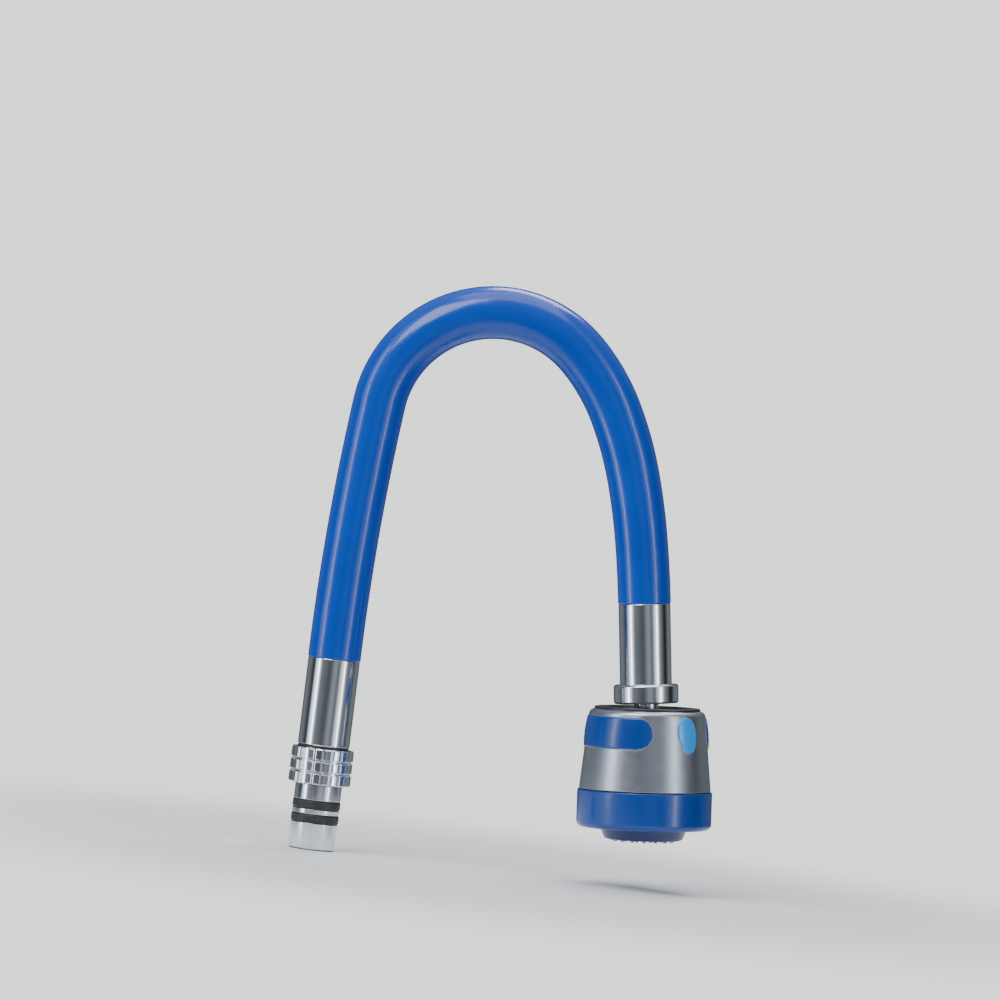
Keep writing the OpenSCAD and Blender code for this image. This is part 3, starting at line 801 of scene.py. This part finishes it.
def add_inlay(name, node, slot, outline, profile, angle, mid_z):
    """An inlay that stands for a CAD node, and the bead round it."""
    points, faces = inlay_mesh(outline, profile, angle, mid_z)
    piece = add_piece(name, placed(points, HEAD), faces, slot, "head", crease=60)
    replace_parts(piece, node)
    points, faces = bead_mesh(outline, angle, mid_z, outset=0.15, section=0.18)
    add_piece(f"{name}_bead", placed(points, HEAD), faces, "satin_bell", "head")


def make_inlays():
    """Two long grip pads round the bell and two small ovals between them."""
    pad_mid, pad_z, pad_r = math.radians(-41), 0.5, 6.0
    pad_half = math.radians(53) * bell_radius(pad_z) - pad_r
    oval_mid, oval_z = math.radians(-131), 0.7
    pad = slot_outline(pad_half, pad_r)
    oval = oval_outline(half_w=4.6, half_h=6.9, lean=math.radians(9), egg=0.08)
    pad_crown = crown(edge=0.45, height=0.75, sink=0.3, bevel=0.12)
    oval_crown = crown(edge=0.4, height=0.7, sink=0.3, bevel=0.16)
    for side, turn in (("front", 0.0), ("back", math.pi)):
        add_inlay(f"grip_pad_{side}", "grip_pads", "blue_grip",
                  pad, pad_crown, pad_mid + turn, pad_z)
        add_inlay(f"accent_oval_{side}", "accent_ovals", "cyan_inlay",
                  oval, oval_crown, oval_mid + turn, oval_z)


# ---- Spray face ----

def make_spray_face():
    """The mode ring, the nozzle plate with its nubs, and the aerator in the middle."""
    lip_r, outer, low, high = measure("mode_ring", HEAD)
    bore_r, lip_z = 22.05, high - 2
    turned_piece("mode_ring", [
        (bore_r, low, 0), (outer, low, 0.45), (outer, high, 2.2), (lip_r, high, 0.3),
        (lip_r, lip_z, 0), (bore_r, lip_z, 0)], HEAD, "blue_grip", "spray_face", segments=192)
    _, outer, low, high = measure("nozzle_plate", HEAD)
    skirt_r, face_r, floor_z = lip_r - 0.4, 14.2, high - 1.0
    well_r, hole_r = 12.8, 5.6
    turned_piece("nozzle_plate", [
        (well_r, low, 0), (outer, low, 0.2), (outer, low + 2, 0.2), (skirt_r, low + 2, 0),
        (skirt_r, high - 5, 0.6), (face_r + 0.9, high - 0.4, 1.0), (face_r - 0.4, high, 0.3),
        (face_r - 1.0, floor_z, 0.3), (hole_r + 1.3, floor_z, 0.2), (hole_r + 0.8, high - 0.2, 0.25),
        (hole_r, high - 0.2, 0.15), (hole_r, high - 1.5, 0), (well_r, high - 2.2, 0)],
        HEAD, "nozzle_blue", "spray_face")
    make_nubs(floor_z)
    inner, outer, low, high = measure("aerator_body", HEAD)
    turned_piece("aerator_body", [
        (inner, low, 0), (outer, low, 0), (outer, high, 0.3), (inner, high, 0.3)],
        HEAD, "chrome_fittings", "spray_face", segments=96)


def make_nubs(floor_z):
    """Soft spray nubs in two rings, each with a rounded lip and its outlet."""
    tip = measure("nozzle_mat", HEAD)[3]
    nub_r, hole_r, root_z = 0.75, 0.35, floor_z - 0.6
    foot_r = nub_r + 0.25
    outline = [
        (hole_r, root_z, 0), (foot_r, root_z, 0), (foot_r, floor_z + 0.1, 0.1),
        (nub_r, floor_z + 0.25, 0.1), (nub_r - 0.08, tip, 0.2), (hole_r, tip, 0.1)]
    points, faces = [], []
    for ring_r, count in ((8.6, 10), (11.6, 16)):
        for k in range(count):
            a = TAU * k / count
            nub, nub_faces = turned_points(outline, 16)
            faces += [tuple(i + len(points) for i in face) for face in nub_faces]
            points += [(x + ring_r * math.cos(a), y + ring_r * math.sin(a), z) for x, y, z in nub]
    piece = add_piece("spray_nubs", placed(points, HEAD), faces, "grey_nubs", "spray_face")
    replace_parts(piece, "nozzle_mat")


# ---- The scene ----

def finish_cad_nodes():
    """Gives every CAD node its material, for the ones that stay in view."""
    for part in frame["record"]["subparts"]:
        node = frame["nodes"][part["node"]]
        node.data.materials.clear()
        node.data.materials.append(LOOKS[part["material_slot"]])


make_camera()
make_world()
make_lights()
make_floor()
finish_cad_nodes()
make_neck()
make_inlet()
make_outlet()
make_top_cap()
make_bell()
make_inlays()
make_spray_face()
